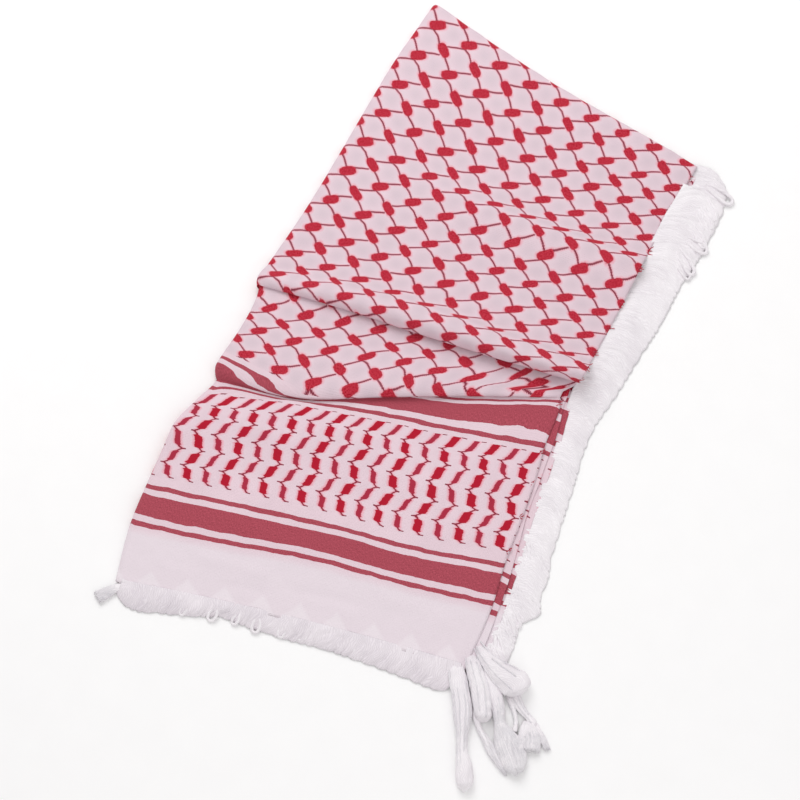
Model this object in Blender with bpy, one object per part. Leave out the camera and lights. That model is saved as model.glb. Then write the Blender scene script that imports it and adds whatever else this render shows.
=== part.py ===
"""Keffiyeh headscarf, folded in half along its length and in quarters across, lying flat.

Metres, +Z up, the resting plane at z = 0. The folded length runs along Y, with the hem
and its fringe at -Y and the folded top edge at +Y. The left edge (-X) is a fold, and the
right edge (+X) shows the edges of three layers with the side fringe under them.

The top layer of cloth is three stretches of one sheet. The field lies at the top and
rolls over at the pleat, the middle fold runs from under that roll to the tuck, and the
border runs from under the tuck to the hem. Their lengths are worked out from the table
of cross lines below, in millimetres; functions turn it into sections and walls.
"""
import bpy
import bmesh
import numpy as np
from collections import namedtuple
from math import cos, pi, radians, sin, sqrt
from mathutils import Vector

MM = 0.001

# Driving dimensions, in millimetres unless the name says otherwise
ORIGIN = (39.1, 48.0)        # middle of the whole layout, moved to x = y = 0
CLOTH_WALL = 1.2             # top layer, with its crepe puckers
EDGE_WALL = 1.0              # second and third layers, where they peek out
GAP = 0.35                   # clearance between touching pieces
BACKING = 2.0                # from the top layer's face to the hidden layers
FOLD_REACH = 5.0             # how far the rounded folds stand out past the flat
VALLEY_DROP = 0.7            # how much deeper the hidden layers lie between two stretches
ROW_SPACING = 0.3            # least distance between two rows of the hidden layers
LAYER_STEP = 8.0             # how far the upper hidden layers stay back from the edge
HEM_STEP = 4.0               # the same at the hem
HEM_LEDGE = 1.5              # how far the lower hidden layers pass the hem
EDGE_LEVEL = 8.0             # height of the layers along the right edge
HEM_LEVEL = 5.6              # and at the hem's corner
FRINGE_TOP = 4.6
FRINGE_TIP = 2.2
STEPS_ACROSS = 14
ROWS_BETWEEN = 2             # rows of facets between two cross lines

# A cross line of the top layer: x of the left fold and of the right edge, then y and
# height at five places from left to right
Line = namedtuple("Line", "name left right y z")

FIELD = [
    Line("top crown",      -147, 135, (355, 341, 328, 320, 312), (9, 9, 9, 9, 8.6)),
    Line("upper field",    -152, 131, (271, 262, 255, 256, 260), (10, 10, 10, 10, 9)),
    Line("behind ripple",  -152, 131, (217, 209, 206, 209, 217), (10, 10, 11, 12, 11)),
    Line("ripple back",    -152, 131, (205, 200, 199, 203, 211), (10, 11, 14, 16, 14)),
    Line("ripple crest",   -152, 131, (193, 189, 191, 196, 204), (10, 12, 17, 19, 17)),
    Line("ripple front",   -152, 131, (173, 171, 171, 173, 178), (10, 11, 14, 16, 14)),
    Line("lower field",    -153, 130, (120, 121, 124, 127, 132), (10, 10, 10, 11, 11)),
    Line("roll foot",      -157, 129, (61, 79, 93, 99, 106), (10, 11, 11, 12, 12)),
    Line("roll back",      -158, 130, (50, 67, 80, 86, 94), (15, 19, 22, 24, 24)),
    Line("roll crest",     -158, 130, (45, 58, 69, 76, 85), (17, 22, 26, 28, 28)),
    Line("roll front",     -157, 129, (41, 53, 62, 71, 81), (15, 20, 23, 26, 26)),
    Line("roll lip",       -154, 127, (38, 50.5, 59.5, 69, 81), (10.5, 10.6, 10.6, 10.6, 10.6)),
]
MIDDLE = [
    Line("under the roll", -153, 126, (37, 50, 59.5, 69, 81), (9.8, 9.9, 9.9, 9.9, 9.9)),
    Line("middle swell",   -149, 121, (0, 13, 32, 47, 72), (11, 12, 13, 13, 11)),
    Line("tuck crest",     -151, 119, (-41, -28, 4, 41, 68), (13, 14, 16, 15, 11)),
    Line("tuck lip",       -145, 119, (-51.5, -38.5, -4.5, 33.5, 63), (5.6, 8, 8.8, 9.2, 9.2)),
]
BORDER = [
    Line("under the tuck", -145, 120, (-52.5, -39.5, -5, 33, 62.2), (5, 7.4, 8, 8.5, 8.5)),
    Line("upper band",     -150, 126, (-76, -46, -23, -3, 18), (11.5, 10.5, 10, 9.5, 9)),
    Line("panel swell",    -156, 131, (-106, -67, -45, -27, -8), (15, 14, 12, 10.5, 9)),
    Line("panel",          -154, 135, (-128, -93, -73, -58, -38), (11.5, 11, 10.5, 10, 9)),
    Line("lower band top", -151, 140, (-158, -143, -122, -108, -87), (9.5, 10, 10, 10, 9)),
    Line("lower band end", -146, 146, (-195, -178, -157, -142, -123), (8.5, 9, 9, 9, 8.6)),
    Line("hem",            -133, 149, (-242, -223, -206, -191, -178), (5.6, 6.2, 6.5, 6.5, 6.4)),
]
FOLD_TURN = (35, 65, 90, 112)   # degrees down round the left fold
TOP_TURN = (34, 58, 76)              # degrees down round the top fold

# The right side: x of each layer's edge and of the fringe's reach, by y
Side = namedtuple("Side", "y top_layer second third fringe")
RIGHT_SIDE = [
    Side(306, 134.6, 133.5, 138.5, 166), Side(261, 131, 130, 135, 174), Side(200, 131, 130, 135, 170),
    Side(115, 130, 129, 134, 165), Side(82, 124, 123, 130, 161), Side(63, 119, 124, 130, 157),
    Side(30, 125, 131, 136, 158), Side(-10, 129.5, 135, 141, 165), Side(-47, 134, 139, 145, 171),
    Side(-81, 139, 146, 151, 178), Side(-115, 145, 151, 156, 180), Side(-166, 148, 156, 160, 177),
]
# The hem's fringe: y of its reach, by x
Reach = namedtuple("Reach", "x y")
HEM_FRINGE = [Reach(-126, -256), Reach(-98, -252), Reach(-60, -236), Reach(-14, -226),
              Reach(43, -215), Reach(107, -209), Reach(140, -205)]

# Corner tassels: the way each lies and its radius there
Stop = namedtuple("Stop", "x y radius")
TASSELS = {
    "corner_tassel_1": [Stop(152, -206, 6), Stop(160, -213, 8), Stop(166, -220, 7), Stop(170, -227, 4.6),
                        Stop(175, -235, 6.5), Stop(181, -244, 8.4), Stop(187, -254, 8), Stop(190, -260, 4)],
    "corner_tassel_2": [Stop(179, -212, 2.6), Stop(187, -219, 3.2), Stop(196, -226, 3.4),
                        Stop(206, -233, 4.2), Stop(213, -238, 2.5)],
    "corner_tassel_3": [Stop(163, -181, 6), Stop(172, -190, 8), Stop(182, -199, 7), Stop(193, -207, 8),
                        Stop(207, -217, 11), Stop(219, -226, 11), Stop(225, -231, 5)],
    "corner_tassel_4": [Stop(178, -167, 6), Stop(190, -170, 9), Stop(198, -177, 6.5), Stop(204, -185, 3.6),
                        Stop(214, -190, 4.4), Stop(222, -195, 4.4), Stop(230, -202, 3), Stop(235, -207, 2)],
}
CORNER_TUFT = [Stop(-133, -247, 4), Stop(-138, -253, 5.5), Stop(-142, -259, 5.5), Stop(-144, -263, 3)]
TASSEL_SIDES = 10
TASSEL_FLATTEN = 0.8         # tassels lie lower than they are wide

COLORS = {
    "red and white cloth": (0.70, 0.30, 0.34),
    "white cloth": (0.80, 0.74, 0.77),
    "white cord": (0.86, 0.83, 0.85),
}


def spline(values, place):
    """A smooth curve through evenly spaced values, read at place 0..1."""
    count = len(values) - 1
    span = min(int(place * count), count - 1)
    t = place * count - span
    before = values[span - 1] if span else 2 * values[0] - values[1]
    after = values[span + 2] if span + 2 <= count else 2 * values[-1] - values[-2]
    start, end = values[span], values[span + 1]
    return start + 0.5 * t * (end - before + t * (2 * before - 5 * start + 4 * end - after
                                                  + t * (3 * (start - end) + after - before)))


def column(lines, across):
    """One lengthwise section of a stretch: a point on every cross line, in millimetres."""
    points = []
    for line in lines:
        left = line.left + FOLD_REACH
        points.append(np.array((left + (line.right - left) * across,
                                spline(line.y, across), spline(line.z, across))))
    return points


def stretch(lines, turn_top=False):
    """The face of one stretch of the top layer, as rows of points from left to right.

    The first points of each row go up round the left fold, and with turn_top the first
    rows come up round the top fold."""
    row_count = (len(lines) - 1) * ROWS_BETWEEN
    sections = [column(lines, i / STEPS_ACROSS) for i in range(STEPS_ACROSS + 1)]
    flat = [[spline(section, j / row_count) for section in sections] for j in range(row_count + 1)]
    top = [radians(angle) for angle in reversed(TOP_TURN)] if turn_top else []
    rows = []
    for turn, row in [(turn, flat[0]) for turn in top] + [(0.0, row) for row in flat]:
        folded = []
        for side in [radians(angle) for angle in reversed(FOLD_TURN)]:
            folded.append(rounded(row[0], side, turn))
        rows.append(folded + [rounded(point, 0.0, turn) for point in row])
    return rows


def rounded(point, side, turn):
    """A point carried round the left fold by side, and round the top fold by turn."""
    x, y, z = point
    return np.array((x - FOLD_REACH * sin(side) * cos(turn / 2), y + FOLD_REACH * sin(turn) * cos(side / 2),
                     0.5 * z * (1 + cos(side) * cos(turn))))


def below(rows, distance):
    """The rows moved inwards along the face's normals."""
    grid = np.array(rows)
    along = np.gradient(grid, axis=0)
    over = np.gradient(grid, axis=1)
    normal = np.cross(along, over)
    normal /= np.linalg.norm(normal, axis=2, keepdims=True)
    return grid - normal * distance


def add_object(name, mesh, material):
    obj = bpy.data.objects.new(name, mesh)
    bpy.context.collection.objects.link(obj)
    mesh.shade_smooth()
    mesh.set_sharp_from_angle(angle=radians(50))
    mesh.materials.append(material)
    return obj


def place(point):
    return Vector(((point[0] - ORIGIN[0]) * MM, (point[1] - ORIGIN[1]) * MM, point[2] * MM))


def finished(name, shape):
    """The mesh of a bmesh, its faces pointing out."""
    bmesh.ops.recalc_face_normals(shape, faces=shape.faces)
    if shape.calc_volume(signed=True) < 0:
        bmesh.ops.reverse_faces(shape, faces=shape.faces)
    mesh = bpy.data.meshes.new(name)
    shape.to_mesh(mesh)
    shape.free()
    return mesh


def grid_mesh(name, rows):
    """Quads between rows of points."""
    shape = bmesh.new()
    verts = [[shape.verts.new(place(point)) for point in row] for row in rows]
    for upper, lower in zip(verts, verts[1:]):
        for i in range(len(upper) - 1):
            shape.faces.new((upper[i], lower[i], lower[i + 1], upper[i + 1]))
    return finished(name, shape)


def slab_mesh(name, upper, lower):
    """A closed solid between two grids of points."""
    shape = bmesh.new()
    grids = [[[shape.verts.new(place(point)) for point in row] for row in grid] for grid in (upper, lower)]
    for grid in grids:
        for row, following in zip(grid, grid[1:]):
            for i in range(len(row) - 1):
                shape.faces.new((row[i], following[i], following[i + 1], row[i + 1]))
    top, base = ([grid[0] + [row[-1] for row in grid[1:-1]] + grid[-1][::-1]
                  + [row[0] for row in grid[-2:0:-1]] for grid in grids])
    for i in range(len(top)):
        shape.faces.new((top[i - 1], top[i], base[i], base[i - 1]))
    return finished(name, shape)


def ring_mesh(name, rings):
    """A closed solid through rings of points, with flat ends."""
    shape = bmesh.new()
    verts = [[shape.verts.new(place(point)) for point in ring] for ring in rings]
    size = len(verts[0])
    for ring, following in zip(verts, verts[1:]):
        for i in range(size):
            j = (i + 1) % size
            shape.faces.new((ring[i], ring[j], following[j], following[i]))
    shape.faces.new(verts[0])
    shape.faces.new(verts[-1])
    return finished(name, shape)


def cloth_wall(name, rows, material):
    """A stretch of the top layer: its face, thickened downwards."""
    obj = add_object(name, grid_mesh(name, rows), material)
    if sum(face.normal.z * face.area for face in obj.data.polygons) < 0:
        obj.data.flip_normals()
    wall = obj.modifiers.new("Wall", "SOLIDIFY")
    wall.thickness = CLOTH_WALL * MM
    wall.offset = -1
    wall.use_even_offset = False
    return obj


def side_at(y):
    """The right side's edges at any y between the ends of its table."""
    ys = [row.y for row in RIGHT_SIDE][::-1]
    return Side(y, *(float(np.interp(y, ys, [getattr(row, field) for row in RIGHT_SIDE][::-1]))
                     for field in Side._fields[1:]))


def edge_level(y):
    """Height of the top layer's face along the right edge, without its folds."""
    return float(np.interp(y, (-178, -120), (HEM_LEVEL, EDGE_LEVEL)))


def side_places(start, end, step=16.0):
    count = round((start - end) / step)
    return [start + (end - start) * i / count for i in range(count + 1)]


def edge_strip(name, edge, depth, start, end, material):
    """A lower layer where it peeks out, depth being how far its face is below the top one."""
    rings = []
    for y in side_places(start, end):
        side = side_at(y)
        inner, outer = side.top_layer - LAYER_STEP + 1, getattr(side, edge)
        high = edge_level(y) - depth
        low = high - EDGE_WALL
        rings.append([(inner, y, high), (outer - 1, y, high), (outer, y, high - EDGE_WALL / 2),
                      (outer - 1, y, low), (inner, y, low)])
    return add_object(name, ring_mesh(name, rings), material)


def hidden_rows(face):
    """The hidden layers' own rows under a stretch: from just inside the left fold to the
    step near the right edge, and out along the ledge of the lower layers."""
    turned = len(FOLD_TURN)
    rows = []
    for row in below(face, BACKING):
        flat = row[turned:]
        near_edge = flat[-1][0] - LAYER_STEP
        y = float(np.interp(near_edge, flat[:, 0], flat[:, 1]))
        side = side_at(min(max(y, RIGHT_SIDE[-1].y), RIGHT_SIDE[0].y))
        back = side.top_layer - LAYER_STEP
        xs = np.linspace(flat[0][0], back, len(flat))
        ys, zs = np.interp(xs, flat[:, 0], flat[:, 1]), np.interp(xs, flat[:, 0], flat[:, 2])
        turn = FOLD_REACH - BACKING
        left = [(xs[0] - turn, ys[0], 0.45 * zs[0]), (xs[0] - 0.6 * turn, ys[0], 0.85 * zs[0])]
        ledge = min(edge_level(y) - CLOTH_WALL - 2 * EDGE_WALL - 3 * GAP, zs[-1] - 0.5)
        right = [(back + 0.4, ys[-1], ledge), (side.third - 1, ys[-1], ledge)]
        rows.append(np.array(left + list(zip(xs, ys, zs)) + right))
    return rows


def hidden_layers(field, middle, border, material):
    """The folded layers under the top one, as one solid with a flat underside.

    Its upper part stays back from the right edge and the hem, and its lower part passes
    them, so the sides are stepped as the layers are."""
    rows = []
    for face in (field, middle, border):
        part = hidden_rows(face)
        if rows:
            rows.append(part[0] + (0, VALLEY_DROP, 0) - (0, 0, VALLEY_DROP))
        rows.extend(part)
    hem = rows.pop()
    low = np.minimum(hem[:, 2], HEM_LEVEL - CLOTH_WALL - 2 * EDGE_WALL - 3 * GAP)
    for forward, heights in ((HEM_STEP, hem[:, 2]), (HEM_STEP - 0.4, low), (-HEM_LEDGE, low)):
        rows.append(np.column_stack((hem[:, 0], hem[:, 1] + forward, heights)))
    for previous, row in zip(rows, rows[1:]):
        row[:, 1] = np.minimum(row[:, 1], previous[:, 1] - ROW_SPACING)
    underside = [[(x, y, 0.0) for x, y, z in row] for row in rows]
    return add_object("inner_layers", slab_mesh("inner_layers", rows, underside), material)


def side_fringe(material):
    """The plain solid of the side fringe's reach."""
    rings = []
    for y in side_places(RIGHT_SIDE[0].y, RIGHT_SIDE[-1].y + 1):
        side = side_at(y)
        inner = side.third + GAP
        width = side.fringe - inner
        rings.append([(inner, y, 0), (inner, y, FRINGE_TOP * 0.8), (inner + 0.35 * width, y, FRINGE_TOP),
                      (side.fringe - 1, y, FRINGE_TIP), (side.fringe, y, 0)])
    return add_object("fringe_right", ring_mesh("fringe_right", rings), material)


def hem_fringe(material):
    """The plain solid of the hem fringe's reach."""
    hem = BORDER[-1]
    start, end = HEM_FRINGE[0].x, HEM_FRINGE[-1].x
    count = round((end - start) / 14)
    rings = []
    for i in range(count + 1):
        x = start + (end - start) * i / count
        across = (x - hem.left - FOLD_REACH) / (hem.right - hem.left - FOLD_REACH)
        inner = spline(hem.y, across) - HEM_LEDGE - 0.3 - GAP
        reach = float(np.interp(x, [stop.x for stop in HEM_FRINGE], [stop.y for stop in HEM_FRINGE]))
        width = inner - reach
        rings.append([(x, inner, 0), (x, inner, FRINGE_TOP * 0.7), (x, inner - 0.35 * width, FRINGE_TOP),
                      (x, reach + 1, FRINGE_TIP), (x, reach, 0)])
    return add_object("fringe_bottom", ring_mesh("fringe_bottom", rings), material)


def tassel(name, stops, material):
    """A lying bundle of cords: rings across its way, flattened and resting on the surface."""
    count = (len(stops) - 1) * 2
    xs, ys, radii = zip(*stops)
    way = [(spline(xs, i / count), spline(ys, i / count), spline(radii, i / count))
           for i in range(count + 1)]
    rings = []
    for i, (x, y, radius) in enumerate(way):
        ahead, behind = way[min(i + 1, count)], way[max(i - 1, 0)]
        dx, dy = ahead[0] - behind[0], ahead[1] - behind[1]
        length = sqrt(dx * dx + dy * dy)
        side_x, side_y = -dy / length, dx / length
        ring = []
        for k in range(TASSEL_SIDES):
            angle = 2 * pi * (k + 0.5) / TASSEL_SIDES
            out, up = radius * cos(angle), radius * TASSEL_FLATTEN * sin(angle)
            ring.append((x + side_x * out, y + side_y * out, max(0.0, up + radius * TASSEL_FLATTEN * 0.95)))
        rings.append(ring)
    return add_object(name, ring_mesh(name, rings), material)


def new_material(name, color):
    material = bpy.data.materials.new(name)
    material.use_nodes = True
    shader = material.node_tree.nodes["Principled BSDF"]
    shader.inputs["Base Color"].default_value = (*color, 1)
    shader.inputs["Roughness"].default_value = 0.85
    shader.inputs["Metallic"].default_value = 0
    return material


def main():
    for obj in list(bpy.data.objects):
        bpy.data.objects.remove(obj, do_unlink=True)
    figured = new_material("red and white cloth", COLORS["red and white cloth"])
    plain = new_material("white cloth", COLORS["white cloth"])
    cord = new_material("white cord", COLORS["white cord"])

    field, middle, border = stretch(FIELD, turn_top=True), stretch(MIDDLE), stretch(BORDER)
    cloth_wall("field_panel", field, figured)
    cloth_wall("middle_fold", middle, figured)
    cloth_wall("border_panel", border, figured)
    hidden_layers(field, middle, border, plain)

    second_depth = CLOTH_WALL + GAP
    third_depth = second_depth + EDGE_WALL + GAP
    edge_strip("second_layer_edge", "second", second_depth, RIGHT_SIDE[0].y, RIGHT_SIDE[-1].y, figured)
    edge_strip("third_layer_edge", "third", third_depth, RIGHT_SIDE[0].y, RIGHT_SIDE[-1].y, plain)
    side_fringe(cord)
    hem_fringe(cord)
    tassel("corner_tuft", CORNER_TUFT, cord)
    for name, stops in TASSELS.items():
        tassel(name, stops, cord)


main()
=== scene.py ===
# Keffiyeh headscarf, folded in half and in quarters, lying flat with its fringe and tassels.
import bpy
import math
import random
import numpy as np
from collections import namedtuple
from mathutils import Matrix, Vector, noise


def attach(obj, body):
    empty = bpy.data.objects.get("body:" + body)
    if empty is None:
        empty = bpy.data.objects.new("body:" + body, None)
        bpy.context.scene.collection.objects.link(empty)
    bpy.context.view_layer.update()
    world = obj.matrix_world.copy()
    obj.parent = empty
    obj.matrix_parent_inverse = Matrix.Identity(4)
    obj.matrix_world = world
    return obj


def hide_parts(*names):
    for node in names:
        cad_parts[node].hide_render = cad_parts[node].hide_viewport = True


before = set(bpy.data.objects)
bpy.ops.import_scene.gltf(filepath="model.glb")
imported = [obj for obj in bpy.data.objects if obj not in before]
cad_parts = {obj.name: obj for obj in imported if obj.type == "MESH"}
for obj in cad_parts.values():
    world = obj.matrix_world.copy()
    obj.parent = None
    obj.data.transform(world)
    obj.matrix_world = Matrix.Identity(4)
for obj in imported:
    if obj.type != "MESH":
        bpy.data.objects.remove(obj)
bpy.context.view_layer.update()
mm = 0.001
random.seed(12)

# Middle of the layout in the tables below, which are in millimetres
layoutMiddle = (39.1, 48.0)


def toScene(x, y, z):
    return Vector(((x - layoutMiddle[0]) * mm, (y - layoutMiddle[1]) * mm, z * mm))


def srgb(hexColor):
    # Linear colour and alpha from a hex value such as "C8203A"
    channels = [int(hexColor[i:i + 2], 16) / 255 for i in (0, 2, 4)]
    return (*(c / 12.92 if c <= 0.04045 else ((c + 0.055) / 1.055) ** 2.4 for c in channels), 1.0)


# Camera and light

cameraSetup = {
    "target": (0, 0, 10),     # mm in the layout
    "azimuth": 27,            # degrees round from the hem's side
    "elevation": 70,
    "distance": 1345,
    "lens": 72,
}
lightSetup = {
    "worldStrength": 0.62,
    "keyPower": 13, "keySize": 1.1, "keyPlace": (-0.75, 0.75, 1.35),
    "fillPower": 5, "fillSize": 1.6, "fillPlace": (0.9, -0.8, 1.2),
}


def aim(obj, target):
    obj.rotation_euler = (target - obj.location).to_track_quat("-Z", "Y").to_euler()


def addCamera():
    azimuth, elevation = (math.radians(cameraSetup[key]) for key in ("azimuth", "elevation"))
    back = Vector((math.sin(azimuth) * math.cos(elevation), -math.cos(azimuth) * math.cos(elevation),
                   math.sin(elevation)))
    data = bpy.data.cameras.new("camera")
    data.lens = cameraSetup["lens"]
    data.sensor_width = 36
    data.dof.use_dof = False
    camera = bpy.data.objects.new("camera", data)
    bpy.context.collection.objects.link(camera)
    target = toScene(*cameraSetup["target"])
    camera.location = target + back * cameraSetup["distance"] * mm
    aim(camera, target)
    bpy.context.scene.camera = camera


def addLights():
    for name in ("key", "fill"):
        data = bpy.data.lights.new(name, "AREA")
        data.energy = lightSetup[name + "Power"]
        data.size = lightSetup[name + "Size"]
        light = bpy.data.objects.new(name, data)
        bpy.context.collection.objects.link(light)
        light.location = lightSetup[name + "Place"]
        aim(light, Vector((0, 0, 0)))
    world = bpy.data.worlds.new("studio")
    world.use_nodes = True
    background = world.node_tree.nodes["Background"]
    background.inputs["Color"].default_value = srgb("FFFDFD")
    background.inputs["Strength"].default_value = lightSetup["worldStrength"]
    bpy.context.scene.world = world
    bpy.context.scene.view_settings.view_transform = "Standard"


addCamera()
addLights()
print("camera and lights placed")

# The cloth's own measures, in millimetres: up from the hem, and across from the left fold

cut = {
    "shownWidth": 292, "shownLength": 672,
    "thickness": 0.8,
    "latticeAcross": 33.2, "latticeUp": 33.2,
    "firstColumn": 13.6,      # across to the first knot column
    "firstRow": 250.0,        # up to the lowest row of knots
    "fieldStart": 242.5,      # up to where the lattice begins
}
stripes = [  # woven red stripes: from, to
    (52.0, 56.2), (61.7, 81.0), (86.3, 90.5),
    (197.0, 201.4), (207.2, 226.6), (232.4, 236.8),
]
chevrons = {
    "from": 100.5, "to": 191.5, "segments": 6,
    "firstColumn": 7.5, "pitch": 16.6,
    "thinBody": 1.75, "thickBody": 2.75,
    "swing": 5.6, "hook": 2.2,
}
net = {
    "oval": (7.4, 4.2), "ovalTilt": 32,
    "crossOval": (7.4, 4.1), "crossTilt": -37,
    "line": 0.74, "dots": 1.45,
    # thin lines as bent ways out of a knot and out of a cross knot
    "knotLines": (((3.2, 5.0), (8.0, 7.0), (15.2, 10.8)), ((-1.5, -5.2), (5.0, -8.0), (10.6, -13.6))),
    "crossLines": (((1.5, 4.8), (6.2, 6.6), (15.4, 11.4)), ((5.0, -5.6), (9.6, -9.2), (14.5, -14.0))),
}

# Materials


def addNode(tree, kind, inputs=None, **settings):
    node = tree.nodes.new(kind)
    for name, value in settings.items():
        setattr(node, name, value)
    for socket, value in (inputs or {}).items():
        if isinstance(value, bpy.types.Node):
            value = value.outputs[0]
        if isinstance(value, bpy.types.NodeSocket):
            tree.links.new(value, node.inputs[socket])
        else:
            node.inputs[socket].default_value = value
    return node


def calc(tree, operation, *values):
    return addNode(tree, "ShaderNodeMath", dict(enumerate(values)), operation=operation)


def vectorCalc(tree, operation, *values):
    return addNode(tree, "ShaderNodeVectorMath", dict(enumerate(values)), operation=operation)


def ramp(tree, value, start, end, top=1.0):
    # 0 at start, rising or falling evenly to top at end
    return addNode(tree, "ShaderNodeMapRange", {0: value, 1: start, 2: end, 4: top})


def grainNoise(tree, place, scale, detail):
    return addNode(tree, "ShaderNodeTexNoise", {"Vector": place, "Scale": scale, "Detail": detail})


def mixed(tree, share, first, second):
    # The first colour, going over to the second with share
    mix = addNode(tree, "ShaderNodeMix", {0: share, 6: first, 7: second}, data_type="RGBA")
    return mix.outputs[2]


def startMaterial(name, **shaderValues):
    material = bpy.data.materials.new(name)
    material.use_nodes = True
    tree = material.node_tree
    shader = tree.nodes["Principled BSDF"]
    for socket, value in shaderValues.items():
        shader.inputs[socket.replace("_", " ")].default_value = value
    return material, tree, shader


def everySecond(tree, value):
    # 1 in every second whole step of value, 0 in the others
    half = calc(tree, "MULTIPLY", value, 0.5)
    return calc(tree, "GREATER_THAN", calc(tree, "FRACT", half), 0.5)


def knotMask(tree, cell, halfSize, tilt, lines, wobble):
    # How far a point of the cell is from the knot (1 at its rim) and from its thin lines, in mm
    turned = addNode(tree, "ShaderNodeVectorRotate", {"Vector": cell, "Angle": -math.radians(tilt)},
                     rotation_type="Z_AXIS")
    rough = vectorCalc(tree, "ADD", turned, wobble)
    scaled = vectorCalc(tree, "MULTIPLY", rough, (1 / halfSize[0], 1 / halfSize[1], 0))
    size = vectorCalc(tree, "ABSOLUTE", scaled)
    square = vectorCalc(tree, "MULTIPLY", size, size)
    cube = vectorCalc(tree, "MULTIPLY", square, size)
    total = vectorCalc(tree, "DOT_PRODUCT", cube, (1, 1, 0))
    nearest = None
    for stops in lines:
        for start, end in zip(stops, stops[1:]):
            start, end = Vector((*start, 0)), Vector((*end, 0))
            length = (end - start).length
            way = (end - start) / length
            offset = vectorCalc(tree, "SUBTRACT", cell, start)
            along = vectorCalc(tree, "DOT_PRODUCT", offset, way)
            held = addNode(tree, "ShaderNodeMapRange", {0: along.outputs["Value"], 2: length, 4: length})
            foot = addNode(tree, "ShaderNodeVectorMath", {0: way, 3: held}, operation="SCALE")
            gone = vectorCalc(tree, "DISTANCE", offset, foot)
            gone = gone.outputs["Value"]
            nearest = gone if nearest is None else calc(tree, "MINIMUM", nearest, gone)
    return total.outputs["Value"], nearest


def chevronMasks(tree, across, up, wobbleValue):
    # Mask of the thick bars and of their thin dark tails
    height = (chevrons["to"] - chevrons["from"]) / chevrons["segments"]
    rise = calc(tree, "SUBTRACT", up, chevrons["from"])
    step = calc(tree, "DIVIDE", rise, height)
    share = calc(tree, "FRACT", step)
    # The topmost bar runs straight up to its end
    last = calc(tree, "GREATER_THAN", step, chevrons["segments"] - 1.0)
    limit = calc(tree, "MULTIPLY_ADD", last, -0.7, 1.0)
    rising = calc(tree, "MULTIPLY_ADD", share, 2.0, -1.0)
    q = calc(tree, "MINIMUM", rising, limit)
    sign = calc(tree, "MULTIPLY_ADD", everySecond(tree, step), 2.0, -1.0)
    q2 = calc(tree, "MULTIPLY", q, q)
    bend = calc(tree, "MULTIPLY_ADD", q2, chevrons["swing"] - 0.9, 0.9)
    lean = calc(tree, "MULTIPLY", bend, q)
    swing = calc(tree, "MULTIPLY", lean, sign)

    column = calc(tree, "SUBTRACT", across, chevrons["firstColumn"])
    pitch = calc(tree, "MULTIPLY_ADD", column, 1 / chevrons["pitch"], 0.5)
    place = calc(tree, "FRACT", pitch)
    aside = calc(tree, "MULTIPLY_ADD", place, chevrons["pitch"], -0.5 * chevrons["pitch"])
    thick = everySecond(tree, pitch)
    body = calc(tree, "MULTIPLY_ADD", thick, chevrons["thickBody"] - chevrons["thinBody"],
                chevrons["thinBody"])
    reach = calc(tree, "ABSOLUTE", q)
    inBody = ramp(tree, reach, 0.70, 0.58)
    bodyWidth = calc(tree, "MULTIPLY", body, inBody)
    tailWidth = calc(tree, "MULTIPLY_ADD", q2, 0.75, 0.45)
    width = calc(tree, "ADD", bodyWidth, tailWidth)
    off = calc(tree, "SUBTRACT", aside, swing)
    rough = calc(tree, "ADD", off, wobbleValue)
    distance = calc(tree, "ABSOLUTE", rough)
    inside = calc(tree, "SUBTRACT", distance, width)
    drawn = ramp(tree, inside, 0.25, -0.25)

    # A hook runs on past each turn
    turnStep = calc(tree, "ADD", step, 0.5)
    turnSide = calc(tree, "MULTIPLY_ADD", everySecond(tree, turnStep), -2.0, 1.0)
    outward = calc(tree, "MULTIPLY", aside, turnSide)
    hookMiddle = chevrons["swing"] + 0.4 * chevrons["hook"]
    hookPlace = calc(tree, "COMPARE", outward, hookMiddle, chevrons["hook"])
    nearTurn = calc(tree, "SUBTRACT", share, 0.5)
    nearAbs = calc(tree, "ABSOLUTE", nearTurn)
    hookLine = ramp(tree, nearAbs, 0.455, 0.475)
    hook = calc(tree, "MULTIPLY", hookPlace, hookLine)

    middle = 0.5 * (chevrons["from"] + chevrons["to"])
    reachUp = 0.5 * (chevrons["to"] - chevrons["from"]) + 0.4
    band = calc(tree, "COMPARE", up, middle, reachUp)
    bars = calc(tree, "MULTIPLY", drawn, band)
    tails = calc(tree, "GREATER_THAN", reach, 0.68)
    hooks = calc(tree, "MULTIPLY", hook, band)
    glow = ramp(tree, inside, 2.4, 0.2)
    barGlow = calc(tree, "MULTIPLY", glow, band)
    return bars, tails, hooks, thick, barGlow


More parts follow.
